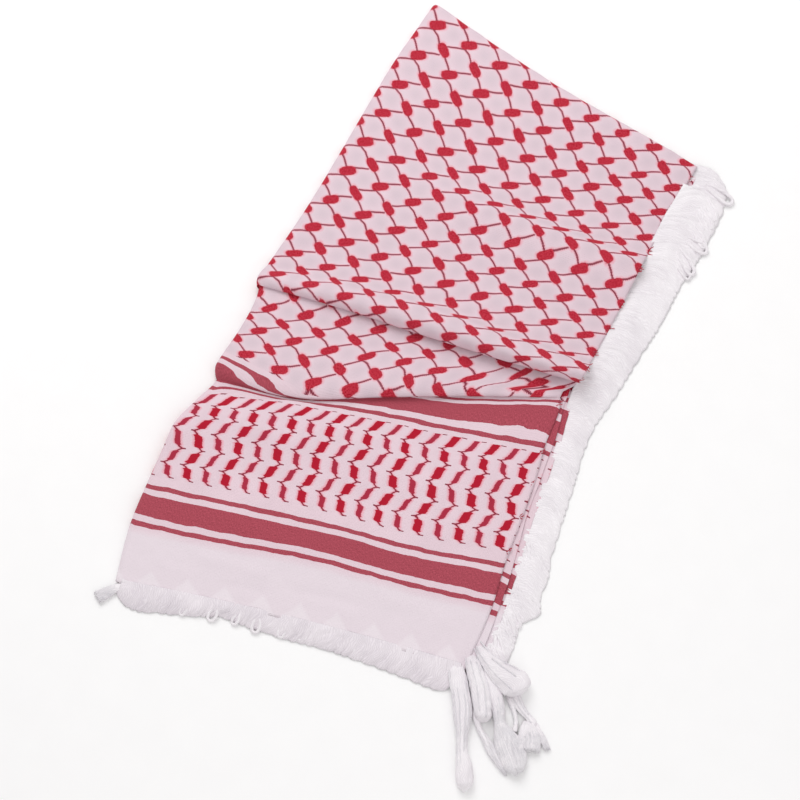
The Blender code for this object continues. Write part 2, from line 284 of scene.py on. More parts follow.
def figuredCotton(name, threadStep=1.25):
    # Cotton crepe, woven on a dobby loom from white and red yarn and left unpressed: the red
    # floats stand a little proud, the white cells between them pucker, and nothing shines.
    # Threads are 0.4 mm apart in the cloth and are drawn at threadStep so that they show.
    material, tree, shader = startMaterial(name, Roughness=0.92, Specular_IOR_Level=0.18,
                                           Sheen_Weight=0.05, Sheen_Roughness=0.5)
    uv = addNode(tree, "ShaderNodeUVMap", uv_map="cloth")
    sized = addNode(tree, "ShaderNodeVectorMath", {0: uv, 3: 1000.0}, operation="SCALE")
    wave = grainNoise(tree, sized, 0.06, 2.0)
    drift = vectorCalc(tree, "ADD", wave.outputs["Color"], (-0.5, -0.5, -0.5))
    drifted = vectorCalc(tree, "MULTIPLY_ADD", drift, (3.2, 3.2, 0), sized)
    place = addNode(tree, "ShaderNodeSeparateXYZ", {0: drifted})
    across, up = place.outputs["X"], place.outputs["Y"]
    fray = grainNoise(tree, sized, 0.85, 1.0)
    frayVector = vectorCalc(tree, "ADD", fray.outputs["Color"], (-0.5, -0.5, -0.5))
    wobble = addNode(tree, "ShaderNodeVectorMath", {0: frayVector, 3: 1.5}, operation="SCALE")
    wobbleValue = addNode(tree, "ShaderNodeSeparateXYZ", {0: wobble}).outputs["X"]

    # The lattice of knots, and of cross knots half a repeat along and up
    pitch = (cut["latticeAcross"], cut["latticeUp"], 1)
    start = (cut["firstColumn"], cut["firstRow"], 0)
    moved = vectorCalc(tree, "SUBTRACT", drifted, start)
    repeat = vectorCalc(tree, "DIVIDE", moved, pitch)
    masks = []
    for shift, key, tiltKey, lineKey in ((0.5, "oval", "ovalTilt", "knotLines"),
                                         (0.0, "crossOval", "crossTilt", "crossLines")):
        shifted = vectorCalc(tree, "ADD", repeat, (shift, shift, 0))
        share = vectorCalc(tree, "FRACTION", shifted)
        middle = vectorCalc(tree, "SUBTRACT", share, (0.5, 0.5, 0))
        cell = vectorCalc(tree, "MULTIPLY", middle, pitch)
        masks.append(knotMask(tree, cell, net[key], net[tiltKey], net[lineKey], wobble))
    field = calc(tree, "GREATER_THAN", up, cut["fieldStart"])
    rim = calc(tree, "MINIMUM", masks[0][0], masks[1][0])
    gap = calc(tree, "MINIMUM", masks[0][1], masks[1][1])
    dots = calc(tree, "MULTIPLY", across, 2 * math.pi / net["dots"])
    beads = calc(tree, "SINE", dots)
    beaded = calc(tree, "MULTIPLY_ADD", beads, 0.34, gap)
    drawn = (
        ramp(tree, rim, 1.22, 0.84),
        ramp(tree, beaded, net["line"] + 0.22, net["line"] - 0.22),
        ramp(tree, rim, 2.6, 0.9),
        ramp(tree, gap, 2.2, 0.4),
    )
    ovals, lines, ovalGlow, lineGlow = (calc(tree, "MULTIPLY", mask, field) for mask in drawn)

    bars, tails, hooks, thick, barGlow = chevronMasks(tree, across, up, wobbleValue)
    glowing = calc(tree, "MAXIMUM", ovalGlow, lineGlow)
    glowing = calc(tree, "MAXIMUM", glowing, barGlow)

    banded = None
    edge = calc(tree, "MULTIPLY_ADD", wobbleValue, 0.35, up)
    for low, high in stripes:
        one = calc(tree, "COMPARE", edge, 0.5 * (low + high), 0.5 * (high - low))
        banded = one if banded is None else calc(tree, "MAXIMUM", banded, one)

    # White ground, with painted shade greying each cell where it puffs up, pinker beside the red yarn
    angle = addNode(tree, "ShaderNodeVectorMath", {0: repeat, 3: 2 * math.pi}, operation="SCALE")
    wavy = vectorCalc(tree, "COSINE", angle)
    waveParts = addNode(tree, "ShaderNodeSeparateXYZ", {0: wavy})
    product = calc(tree, "MULTIPLY", waveParts.outputs["X"], waveParts.outputs["Y"])
    puff = calc(tree, "MULTIPLY_ADD", product, -0.5, 0.5)
    puffed = calc(tree, "MULTIPLY", puff, field)
    blotch = grainNoise(tree, sized, 0.035, 3.0)
    ground = mixed(tree, blotch.outputs[0], srgb("EDD5DE"), srgb("E2CCD5"))
    # Painted shade: the middle of each puffed cell is greyed
    paintedCellShade = ramp(tree, puffed, 0.35, 1.0, 0.62)
    plain = ramp(tree, up, 52, 44)
    ground = mixed(tree, plain, ground, srgb("EBDFE6"))
    cloth = mixed(tree, paintedCellShade, ground, srgb("D3C2CB"))

    # Threads show as short flecks: long across the stripes, short in the knots
    stretch = vectorCalc(tree, "MULTIPLY", sized, (3.4, 1.0, 1))
    slub = grainNoise(tree, stretch, 0.62, 3.0)
    slubs = ramp(tree, slub.outputs[0], 0.36, 0.66)
    bandRed = mixed(tree, slubs, srgb("92182E"), srgb("BE4457"))
    grain = grainNoise(tree, sized, 1.1, 1.0)
    grains = ramp(tree, grain.outputs[0], 0.38, 0.64)
    knotRed = mixed(tree, grains, srgb("A30C22"), srgb("D23F52"))
    thinRed = mixed(tree, thick, srgb("AE2F45"), srgb("B61830"))
    barRed = mixed(tree, tails, thinRed, srgb("94283C"))
    # Short red ends lie under the white beside each float, and the hem's knots are denser white
    pinked = calc(tree, "MULTIPLY", glowing, 0.8)
    pink = mixed(tree, pinked, cloth, srgb("EF9BAA"))
    peak = calc(tree, "PINGPONG", across, 15.5)
    peakTop = calc(tree, "MULTIPLY_ADD", peak, 1.1, up)
    dense = ramp(tree, peakTop, 17.0, 13.0, 0.55)
    color = mixed(tree, dense, pink, srgb("F3EBF0"))
    for mask, red, strength in ((banded, bandRed, 0.93), (bars, barRed, 1.0),
                                (hooks, srgb("8A2C3E"), 1.0), (lines, srgb("80273A"), 0.95),
                                (ovals, knotRed, 1.0)):
        amount = calc(tree, "MULTIPLY", mask, strength)
        color = mixed(tree, amount, color, red)
    tree.links.new(color, shader.inputs["Base Color"])

    # Relief: raised red floats over a plain weave
    weave = None
    for axis in ("X", "Y"):
        wave = addNode(tree, "ShaderNodeTexWave", {"Vector": sized, "Scale": math.pi / (10 * threadStep),
                                                   "Distortion": 0.6}, bands_direction=axis)
        weave = wave if weave is None else calc(tree, "MULTIPLY", weave, wave)
    raised = calc(tree, "MAXIMUM", ovals, bars)
    relief = calc(tree, "MULTIPLY_ADD", raised, 1.4, weave)
    crepe = calc(tree, "MULTIPLY_ADD", fray.outputs[0], 1.2, relief)
    bump = addNode(tree, "ShaderNodeBump", {"Strength": 0.5, "Distance": 0.0004, "Height": crepe})
    tree.links.new(bump.outputs[0], shader.inputs["Normal"])
    return material


def cordCotton(name, light, dark, strand):
    # Soft two-ply cotton, knotted by hand into loops: the plies lie side by side, a little
    # unevenly, and their fuzz scatters the light so that the cords look soft and nearly white.
    # strand is the plies' spacing in millimetres.
    material, tree, shader = startMaterial(name, Roughness=0.95, Specular_IOR_Level=0.1,
                                           Sheen_Weight=0.3, Sheen_Roughness=0.6)
    uv = addNode(tree, "ShaderNodeUVMap", uv_map="cord")
    sized = addNode(tree, "ShaderNodeVectorMath", {0: uv, 3: 1000.0}, operation="SCALE")
    sway = grainNoise(tree, sized, 0.11, 2.0)
    shifted = vectorCalc(tree, "MULTIPLY_ADD", sway.outputs["Color"], (9, 0, 0), sized)
    plies = addNode(tree, "ShaderNodeTexWave", {"Vector": shifted, "Scale": math.pi / (10 * strand),
                                                "Distortion": 1.5, "Detail": 2.0, "Detail Scale": 0.6},
                    bands_direction="X")
    place = addNode(tree, "ShaderNodeTexCoord")
    fuzz = grainNoise(tree, place.outputs["Object"], 700.0, 3.0)
    tone = addNode(tree, "ShaderNodeTexNoise", {"Vector": place.outputs["Object"], "Scale": 45.0})
    # Painted shade darkens the grooves between the plies, and the tone also varies at random
    groovesShadeAndTone = calc(tree, "MULTIPLY_ADD", plies, 0.35, tone.outputs[0])
    shade = ramp(tree, groovesShadeAndTone, 0.35, 0.9)
    color = mixed(tree, shade, srgb(dark), srgb(light))
    tree.links.new(color, shader.inputs["Base Color"])
    height = calc(tree, "MULTIPLY_ADD", fuzz.outputs[0], 0.4, plies)
    bump = addNode(tree, "ShaderNodeBump", {"Strength": 0.45, "Distance": 0.0004, "Height": height})
    tree.links.new(bump.outputs[0], shader.inputs["Normal"])
    return material


def paperFloor():
    # Matt white background paper, rolled out flat: it only takes a soft shadow
    material, tree, shader = startMaterial("matt white background paper", Roughness=0.95,
                                           Specular_IOR_Level=0.1)
    place = addNode(tree, "ShaderNodeTexCoord")
    fibre = addNode(tree, "ShaderNodeTexNoise", {"Vector": place.outputs["Object"], "Scale": 40.0})
    color = mixed(tree, fibre.outputs[0], srgb("FCFCFC"), srgb("FFFFFF"))
    tree.links.new(color, shader.inputs["Base Color"])
    return material


clothMaterial = figuredCotton("dobby woven cotton crepe")
cordMaterial = cordCotton("twisted cotton cord", "FAF6F9", "EBE5EA", 1.6)
brushMaterial = cordCotton("combed cotton ends", "F3F0F3", "DCD8DE", 1.0)
weftMaterial = cordCotton("cut red cotton yarn", "C8304A", "A81E36", 1.6)
hemCordMaterial = cordCotton("twisted cotton cord at the hem", "F2EBF0", "DFD7DE", 1.6)
print("materials made")

# The top layer: its cross lines from the top fold to the hem.
# left and right are the x of its edges; y, z and up are at five places from left to right,
# up being the cloth's own measure from the hem, and slip shifting the pattern across
Line = namedtuple("Line", "name left right y z up slip", defaults=((0, 0, 0, 0, 0),))
clothLines = [
    Line("top crown", -147, 135, (359, 344, 331, 323, 314), (9, 9, 9, 9, 8.6), (662, 660, 658, 654, 646),
         (-4, -9, -10, -5, -2)),
    Line("upper field", -152, 131, (271, 262, 255, 256, 260), (10, 10, 10, 10, 9),
         (581, 581, 581.5, 583, 581),
         (-6, -9, -10, -6, -2)),
    Line("behind ripple", -152, 131, (217, 209, 206, 209, 217), (10, 10, 11, 12, 11),
         (526.5, 527, 526.5, 525.5, 526.5), (-5, -7, -5, -1, 2)),
    Line("ripple back", -152, 131, (205, 200, 199, 203, 211), (10, 11, 14, 16, 14),
         (515.5, 516, 516, 514.5, 517), (-5, -6.5, -4, 1, 4.5)),
    Line("ripple crest", -152, 131, (193, 189, 191, 196, 204), (10, 12, 17, 19, 17),
         (503, 504, 503.5, 502.5, 505), (-5, -5.5, -3, 2.5, 5)),
    Line("ripple front", -152, 131, (173, 171, 171, 173, 178), (10, 11, 14, 16, 14),
         (483, 484, 483.5, 481.5, 483), (-5, -4.5, -2, 2.5, 5)),
    Line("lower field", -153, 130, (120, 121, 124, 127, 132), (10, 10, 10, 11, 11),
         (428, 429, 427.5, 426, 425.5),
         (-5.5, -4.5, -1, 3, 5)),
    Line("roll foot", -157, 129, (61, 79, 93, 99, 106), (10, 11, 11, 12, 12), (361, 378, 393.5, 392, 389),
         (-5, -4, -2, 2, 5)),
    Line("roll back", -158, 130, (50, 67, 80, 86, 94), (15, 19, 22, 24, 24), (345.5, 359.5, 373.5, 372, 368),
         (-5, -3, -1, 2, 5)),
    Line("roll crest", -158, 130, (45, 58, 69, 76, 85), (17, 22, 26, 28, 28), (340.5, 349, 359.5, 359, 354),
         (-5, -2.5, 0, 2, 4.5)),
    Line("roll front", -157, 129, (41, 53, 62, 71, 81), (15, 20, 23, 26, 26), (336.5, 342, 349, 349, 343),
         (-5, -2, 0.5, 2.5, 4.5)),
    Line("roll lip", -155, 128, (38.5, 50, 58.5, 68, 79.5), (12, 14, 15.5, 17, 17),
         (334, 337, 340.5, 341, 330),
         (-4.5, -2, 1, 3, 4.5)),
    Line("roll under", -155, 128, (40, 56, 68, 82, 97), (10.9, 11.3, 11.6, 12, 12),
         (333, 333, 333, 326, 306),
         (-4.5, -2, 1, 3, 4.5)),
    Line("pleat back", -155, 127, (41, 57.5, 70, 84.5, 100), (10.4, 10.5, 10.6, 10.8, 10.9),
         (332.8, 331, 330, 320, 293), (-4.5, -2, 1, 3, 4)),
    Line("under the roll", -153, 126, (37, 50, 59.5, 69, 81), (9.8, 9.8, 9.8, 9.8, 9.8),
         (332, 326, 320, 303, 257), (-4.5, -2, 1, 3.5, 4)),
    Line("middle swell", -149, 121, (0, 13, 32, 47, 72), (11, 12, 13, 13, 11), (285, 286, 285, 282.5, 248.5),
         (-7, -3.5, -0.5, 4.5, 3)),
    Line("tuck crest", -151, 119, (-41, -28, 4, 38, 68), (13, 14, 16, 15, 11),
         (225.5, 244, 257, 273.5, 244.5),
         (-11, -9, -5.5, 3.3, 1)),
    Line("tuck lip", -146, 119, (-51.2, -38.2, -4.5, 30, 63), (6.4, 9.4, 11.6, 11.6, 10),
         (210.5, 234, 247.5, 266, 240), (-12.5, -10.5, -8, 3.5, 0.5)),
    Line("tuck under", -145.5, 119.5, (-51.6, -35, 6, 37, 62.7), (5.6, 8.2, 9.2, 9.4, 9.6),
         (209.5, 222, 237, 257, 238.5), (-11.5, -10.5, -9, -0.5, 0)),
    Line("under the tuck", -145, 120, (-52.5, -39.5, -5, 30.5, 62.2), (5, 7.4, 8, 8.5, 9.2),
         (208.5, 201, 217, 239, 237.5), (-9.5, -11, -9.5, -4.5, -0.5)),
    Line("upper band", -150, 126, (-76, -41.5, -23, -3, 18), (11.5, 10.5, 10, 9.5, 9),
         (183.5, 197.5, 194.5, 197, 198),
         (-4, -14, -6.5, -5, -6)),
    Line("panel swell", -156, 131, (-106, -67, -45, -27, -8), (15, 14, 12, 10.5, 9),
         (147.5, 167, 168.5, 168.5, 168.5),
         (-4, -12, -10.5, -9.5, -9.5)),
    Line("panel", -154, 135, (-128, -93, -73, -58, -38), (11.5, 11, 10.5, 10, 9), (127, 139, 140, 139, 140),
         (-7, -9.5, -9, -8.5, -9.5)),
    Line("lower band top", -151, 140, (-158, -143, -122, -108, -87), (9.5, 10, 10, 10, 9),
         (92, 88, 91, 90, 89.5), (-8, -5, -4.3, -2.5, -5.8)),
    Line("lower band end", -146, 146, (-195, -178, -157, -142, -123), (8.5, 9, 9, 9, 8.6),
         (52, 50.5, 50, 50.5, 52)),
    Line("hem", -133, 149, (-242, -223, -206, -191, -178), (4.8, 5.2, 5.4, 5.4, 5.4), (0,) * 5),
]
shell = {
    "foldReach": 5.0,          # how far the rounded folds stand out
    "leftShift": -3.2,         # the left fold lies a little further out than the cross lines' ends
    "foldTurns": (18, 36, 54, 72, 90, 108, 126, 144, 162),
    "topTurns": (18, 36, 54, 72, 90, 108, 126),
    "columns": 116,
    "rowStep": 2.6,
    "puff": 1.0,              # height of the puckered cells
    "unevenness": 0.7,
}
# Creases: from, to, height (a trough below 0) and half width
Crease = namedtuple("Crease", "x1 y1 x2 y2 height width")
creases = [
    Crease(40, 318, 125, 268, -1.8, 13), Crease(70, 326, 131, 300, 1.6, 9), Crease(-60, 330, -20, 262,
                                                                                   0.9, 14),
    Crease(-140, 250, -70, 238, 0.8, 11), Crease(10, 235, 120, 240, -1.0, 10), Crease(60, 160, 128, 164,
                                                                                      -1.2, 9),
    Crease(-150, 150, -50, 140, 0.9, 12), Crease(-20, 118, 110, 124, 1.1, 10), Crease(-150, 92, -90, 104,
                                                                                      -0.9, 8),
    Crease(-120, 24, 0, 46, -1.4, 7), Crease(-140, -2, -50, 6, 1.1, 9), Crease(-10, 26, 80, 54, 1.2, 7),
    Crease(-130, -20, -60, -12, 1.0, 6), Crease(-120, -84, 0, -60, 1.1, 9),
    Crease(-100, -116, 60, -78, -0.9, 11), Crease(20, -60, 120, -30, 0.8, 10), Crease(-120, -160, 0, -142,
                                                                                      0.8, 8),
    Crease(-95, -196, -20, -178, 0.7, 5), Crease(-10, -186, 60, -170, -0.8, 4), Crease(60, -160, 130,
                                                                                       -150, 0.7, 6),
    Crease(-60, -206, -15, -196, -0.7, 3.5), Crease(-120, -215, -80, -206, 0.6, 5),
]


def limited(tangent, before, after):
    # Level where the two slopes turn, otherwise at most three times the gentler one
    most = 3 * np.minimum(np.abs(before), np.abs(after))
    return np.where(before * after > 0, np.clip(tangent, -most, most), 0.0)


def hermite(points, gaps, index, t, firm=False):
    # Point at share t of one span of a smooth curve whose points are gaps apart; a firm curve
    # never swings past its points
    here, there, gap = points[index], points[index + 1], gaps[index]
    slope = (there - here) / gap
    before = (here - points[index - 1]) / gaps[index - 1] if index else slope
    after = (points[index + 2] - there) / gaps[index + 1] if index + 2 < len(points) else slope
    leading = gaps[index - 1] if index else gap
    trailing = gaps[index + 1] if index + 2 < len(points) else gap
    tangentIn = (before * gap + slope * leading) / (gap + leading)
    tangentOut = (slope * trailing + after * gap) / (gap + trailing)
    if firm:
        tangentIn = limited(tangentIn, before, slope)
        tangentOut = limited(tangentOut, slope, after)
    t2, t3 = t * t, t * t * t
    return ((2 * t3 - 3 * t2 + 1) * here + (t3 - 2 * t2 + t) * gap * tangentIn
            + (3 * t2 - 2 * t3) * there + (t3 - t2) * gap * tangentOut)


def acrossLine(values, share):
    # A value of a cross line at a share of its width
    span = min(int(share * 4), 3)
    return hermite(values, (1, 1, 1, 1), span, share * 4 - span)


def creaseHeight(x, y):
    total = 0.0
    for crease in creases:
        dx, dy = crease.x2 - crease.x1, crease.y2 - crease.y1
        length = math.hypot(dx, dy)
        along = ((x - crease.x1) * dx + (y - crease.y1) * dy) / (length * length)
        away = abs((x - crease.x1) * dy - (y - crease.y1) * dx) / length
        if -0.4 < along < 1.4 and away < 3 * crease.width:
            bow = crease.width * 0.5 * math.sin(3.1 * along + crease.x1)
            side = ((x - crease.x1) * dy - (y - crease.y1) * dx) / length - bow
            fade = math.exp(-max(0.0, abs(along - 0.5) - 0.25) ** 2 / 0.03)
            total += crease.height * fade * math.exp(-(side / crease.width) ** 2)
    return total


def puffHeight(across, up):
    # The puckered cells of the field, and softer ones between the chevrons
    if up > 244:
        p = 2 * math.pi * (across - cut["firstColumn"]) / cut["latticeAcross"]
        s = 2 * math.pi * (up - cut["firstRow"]) / cut["latticeUp"]
        return 0.5 - 0.5 * math.cos(p) * math.cos(s)
    if chevrons["from"] < up < chevrons["to"]:
        p = 2 * math.pi * (across - chevrons["firstColumn"]) / chevrons["pitch"]
        return 0.4 - 0.4 * math.cos(p)
    return 0.2


def topLayerRows():
    # Rows of (point, across, up) over the whole top layer, folds included
    columns = shell["columns"]
    sections = []
    for i in range(columns + 1):
        share = i / columns
        section = []
        for line in clothLines:
            left = line.left + shell["foldReach"] + shell["leftShift"]
            section.append(np.array((left + (line.right - left) * share, acrossLine(line.y, share),
                                     acrossLine(line.z, share), acrossLine(line.up, share),
                                     acrossLine(line.slip, share))))
        sections.append(section)
    gaps = []
    for j in range(len(clothLines) - 1):
        lengths = [np.linalg.norm(section[j + 1][:3] - section[j][:3]) for section in sections]
        gaps.append((sum(lengths) / len(lengths), lengths))
    rows = []
    for j, (mean, lengths) in enumerate(gaps):
        count = max(2, round(mean / shell["rowStep"]))
        for k in range(count + (j == len(gaps) - 1)):
            row = []
            for i, section in enumerate(sections):
                own = [max(gap[1][i], 0.4) for gap in gaps]
                row.append(hermite(section, own, j, k / count, firm=True))
            rows.append(row)
    return rows


def turned(point, side, turn):
    # A point carried round the left fold and the top fold, in degrees
    side, turn = math.radians(side), math.radians(turn)
    reach = shell["foldReach"]
    x, y, z, up, slip = point
    return np.array((x - reach * math.sin(side) * math.cos(turn / 2),
                     y + reach * math.sin(turn) * math.cos(side / 2),
                     max(0.9, 0.5 * z * (1 + math.cos(side) * math.cos(turn))), up + reach * turn, slip))


def buildTopLayer():
    flat = topLayerRows()
    turns = [(turn, flat[0]) for turn in reversed(shell["topTurns"])] + [(0, row) for row in flat]
    reach = shell["foldReach"]
    grid, measures = [], []
    for turn, row in turns:
        points = [turned(row[0], side, turn) for side in reversed(shell["foldTurns"])]
        points += [turned(point, 0, turn) for point in row]
        grid.append([point[:3] for point in points])
        acrossAt = [-reach * (math.radians(side) - math.pi / 2) for side in reversed(shell["foldTurns"])]
        acrossAt.append(reach * math.pi / 2)
        for before, point in zip(row, row[1:]):
            acrossAt.append(acrossAt[-1] + math.hypot(point[0] - before[0], point[1] - before[1]))
        measures.append([(a + point[4], point[3]) for a, point in zip(acrossAt, points)])
    grid = np.array(grid)
    along = np.gradient(grid, axis=0)
    over = np.gradient(grid, axis=1)
    normal = np.cross(along, over)
    normal /= np.maximum(np.linalg.norm(normal, axis=2, keepdims=True), 1e-9)
    height = np.zeros(grid.shape[:2])
    for j, row in enumerate(grid):
        for i, (x, y, z) in enumerate(row):
            across, up = measures[j][i]
            lift = shell["puff"] * puffHeight(across, up)
            rough = noise.noise(Vector((x, y, 0)) / 26) + 0.5 * noise.noise(Vector((x, y, 7)) / 9)
            lift += shell["unevenness"] * rough + creaseHeight(x, y)
            edge = max(0.0, 1 - (grid.shape[1] - 1 - i) / 4)
            height[j, i] = (lift - 1.0 * edge) * min(1.0, max(normal[j, i, 2], 0.0) ** 2 * 1.3)
    grid = grid + normal * height[:, :, None]
    grid[:, :, 2] = np.maximum(grid[:, :, 2], 0.9)
    return grid, measures


def newObject(name, verts, faces, material, uvs=(), uvName="cloth"):
    mesh = bpy.data.meshes.new(name)
    mesh.from_pydata(verts, [], faces)
    if uvs:
        uv = mesh.uv_layers.new(name=uvName)
        for loop in mesh.loops:
            uv.data[loop.index].uv = uvs[loop.vertex_index]
        mesh.shade_smooth()
    mesh.materials.append(material)
    obj = bpy.data.objects.new(name, mesh)
    bpy.context.collection.objects.link(obj)
    return obj


def gridMesh(name, grid, measures, material, uvName="cloth"):
    rows, columns = grid.shape[:2]
    verts = [toScene(*point) for row in grid for point in row]
    faces = [(j * columns + i, (j + 1) * columns + i, (j + 1) * columns + i + 1, j * columns + i + 1)
             for j in range(rows - 1) for i in range(columns - 1)]
    uvs = [(across * mm, up * mm) for row in measures for across, up in row]
    return newObject(name, verts, faces, material, uvs, uvName)


def thicken(obj, thickness, offset=-1):
    wall = obj.modifiers.new("cloth thickness", "SOLIDIFY")
    wall.thickness = thickness * mm
    wall.offset = offset


topGrid, topMeasures = buildTopLayer()
topCloth = gridMesh("scarf_top_layer", topGrid, topMeasures, clothMaterial)
thicken(topCloth, cut["thickness"])
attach(topCloth, "root")
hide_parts("field_panel", "middle_fold", "border_panel")
print("top layer laid")

# The lower layers, where their edges show

# x of each layer's edge on the right, and of the side fringe's reach, by y
Side = namedtuple("Side", "y top second third fringe")
rightSide = [
    Side(306, 134.6, 133.5, 138.5, 166), Side(261, 131, 130, 135, 174), Side(200, 131, 130, 135, 170),
    Side(115, 130, 129, 134, 165), Side(82, 124, 123, 130, 161), Side(63, 119, 124, 130, 157),
    Side(30, 125, 131, 136, 158), Side(-10, 129.5, 135, 141, 165), Side(-47, 134, 139, 145, 171),
    Side(-81, 139, 146, 151, 178), Side(-115, 145, 151, 156, 180), Side(-166, 148, 156, 160, 177),
]
layers = {
    "edgeLevel": 8.0, "hemLevel": 5.6,
    "step": 1.15,              # each layer lies this much lower than the one above
    "stripWidth": 13, "stripTop": 308, "stripBottom": -170,
    "selvedgeAt": 284.5,       # the cloth's own measure across at its cut edge
    "slabs": 3,                # folded pairs shown at the sides
    "slabHeight": 1.4,
}


def sideAt(y):
    ys = [row.y for row in rightSide][::-1]
    return Side(y, *(float(np.interp(y, ys, [getattr(row, field) for row in rightSide][::-1]))
                     for field in Side._fields[1:]))


def edgeLevel(y):
    return float(np.interp(y, (-178, -120), (layers["hemLevel"], layers["edgeLevel"])))


def upAt(y):
    # The cloth's own measure along the right edge of the lower layers, which have no pleat
    ys = (-178, -123, -87, 10, 18, 63, 306)
    ups = (0, 52, 90.5, 188, 197, 237, 484)
    return float(np.interp(y, ys, ups))


def buildEdge(name, edge, depth, shiftUp, seed):
    # A lower layer's edge strip, from well under the top layer to its own selvedge
    count, wide = 190, 14
    grid, measures = [], []
    for j in range(count + 1):
        y = layers["stripTop"] + (layers["stripBottom"] - layers["stripTop"]) * j / count
        side = sideAt(y)
        outer = getattr(side, edge) + 0.7 * noise.noise(Vector((seed, y / 18, 0)))
        row, marks = [], []
        for i in range(wide + 1):
            x = outer - layers["stripWidth"] * (1 - i / wide)
            curl = 0.35 * math.sin(y / 7 + seed) * (i / wide) ** 3
            z = edgeLevel(y) - depth + curl + 0.25 * noise.noise(Vector((x / 9, y / 9, seed)))
            row.append((x, y, z))
            marks.append((layers["selvedgeAt"] - (outer - x), upAt(y) + shiftUp))
        grid.append(row)
        measures.append(marks)
    obj = gridMesh(name, np.array(grid), measures, clothMaterial)
    thicken(obj, cut["thickness"])
    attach(obj, "root")
    return obj


secondEdge = buildEdge("scarf_second_layer", "second", layers["step"], 6.0, 3.0)
thirdEdge = buildEdge("scarf_third_layer", "third", 2 * layers["step"], -5.0, 8.0)
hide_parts("second_layer_edge")
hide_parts("third_layer_edge")


def buildSlab(index):
    # One folded pair of hidden layers: rounded at its folds, thin at its cut edges
    bottom = 0.15 + index * layers["slabHeight"]
    top = bottom + layers["slabHeight"] - 0.25
    inset = 0.6 + 0.9 * index
    lines = [line for line in clothLines if line.name not in ("roll under", "pleat back", "tuck under")]
    rowCount, columnCount = 90, 40
    outline = []
    for j in range(rowCount + 1):
        share = j / rowCount
        place = share * (len(lines) - 1)
        span = min(int(place), len(lines) - 2)
        t = place - span
        row = []
        for i in range(columnCount + 1):
            u = i / columnCount
            yHere = (1 - t) * acrossLine(lines[span].y, u) + t * acrossLine(lines[span + 1].y, u)
            leftHere = (1 - t) * lines[span].left + t * lines[span + 1].left
            rightHere = sideAt(min(max(yHere, -166), 306)).third - 2
            wander = 1.4 * noise.noise(Vector((index * 5, yHere / 30, 0)))
            left = leftHere + inset + wander
            right = rightHere - 2 * index - wander
            stretchUp = (3.5 - inset) * max(0, 1 - j / 4)
            topHere = (1 - t) * acrossLine(lines[span].z, u) + t * acrossLine(lines[span + 1].z, u)
            row.append((left + (right - left) * u, yHere + stretchUp, min(1.0, topHere / 9.5)))
        outline.append(row)
    middle, half = 0.5 * (top + bottom), 0.5 * (top - bottom)
    grid = []
    for face in (1, -1):
        sheetRows = []
        for j, row in enumerate(outline):
            heights = []
            for i, (x, y, share) in enumerate(row):
                rim = min(i, columnCount - i, j * 0.8, rowCount - j) / 2.0
                rounded = math.sqrt(max(0.0, 1 - (1 - min(rim, 1.0)) ** 2))
                heights.append((x, y, (middle + face * half * rounded) * share))
            sheetRows.append(heights)
        grid.append(sheetRows)
    columns = columnCount + 1
    verts = [toScene(*point) for sheetRows in grid for row in sheetRows for point in row]
    offset = (rowCount + 1) * columns
    faces = []
    for j in range(rowCount):
        for i in range(columnCount):
            a, b = j * columns + i, (j + 1) * columns + i
            faces.append((a, b, b + 1, a + 1))
            faces.append((offset + a, offset + a + 1, offset + b + 1, offset + b))
    loop = [j * columns for j in range(rowCount + 1)]
    loop += [rowCount * columns + i for i in range(1, columns)]
    loop += [j * columns + columnCount for j in range(rowCount - 1, -1, -1)]
    loop += list(range(columnCount - 1, 0, -1))
    for a, b in zip(loop, loop[1:] + loop[:1]):
        faces.append((b, a, offset + a, offset + b))
    uvs = [(vert.x + 0.19, 0.35 + vert.y) for vert in verts]
    slab = newObject("hidden_layers_%d" % (index + 1), verts, faces, clothMaterial, uvs)
    weld = slab.modifiers.new("close rim", "WELD")
    weld.merge_threshold = 0.00002
    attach(slab, "root")
    return slab


slabs = [buildSlab(index) for index in range(layers["slabs"])]
for slab in slabs:
    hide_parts("inner_layers")
print("lower layers laid")

# Fringe, tassels and weft ends


def tubeFaces(base, rings, sides):
    # Faces of a closed tube of rings + 1 rings of points, counted from base
    faces = []
    for i in range(rings):
        for k in range(sides):
            a, b = base + i * sides + k, base + i * sides + (k + 1) % sides
            faces.append((a, b, b + sides, a + sides))
    faces.append(tuple(base + k for k in reversed(range(sides))))
    faces.append(tuple(base + rings * sides + k for k in range(sides)))
    return faces


def cordMesh(name, cords, material):
    # One mesh of many round cords; each is points (x, y, z, radius), its sides and its twist in mm
    verts, faces, uvs = [], [], []
    up = Vector((0, 0, 1))
    for points, sides, twist in cords:
        base = len(verts)
        count = len(points)
        centres = [Vector(point[:3]) for point in points]
        length = 0.0
        for i, centre in enumerate(centres):
            ahead, behind = centres[min(i + 1, count - 1)], centres[max(i - 1, 0)]
            way = (ahead - behind).normalized()
            if i:
                length += (centre - centres[i - 1]).length
            side = way.cross(up)
            if side.length < 0.05:
                side = way.cross(Vector((0, 1, 0)))
            side.normalize()
            rise = side.cross(way)
            radius = points[i][3]
            for k in range(sides):
                angle = 2 * math.pi * k / sides
                lobe = 1 + 0.1 * math.cos(2 * (angle - length / twist))
                place = centre + (side * math.cos(angle) + rise * math.sin(angle)) * radius * lobe
                verts.append(toScene(place.x, place.y, max(place.z, 0.12)))
                uvs.append((radius * angle * mm, length * mm))
        faces += tubeFaces(base, count - 1, sides)
    return cordPiece(name, verts, faces, uvs, material)


def cordPiece(name, verts, faces, uvs, material):
    obj = newObject(name, verts, faces, material, uvs, "cord")
    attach(obj, "root")
    return obj


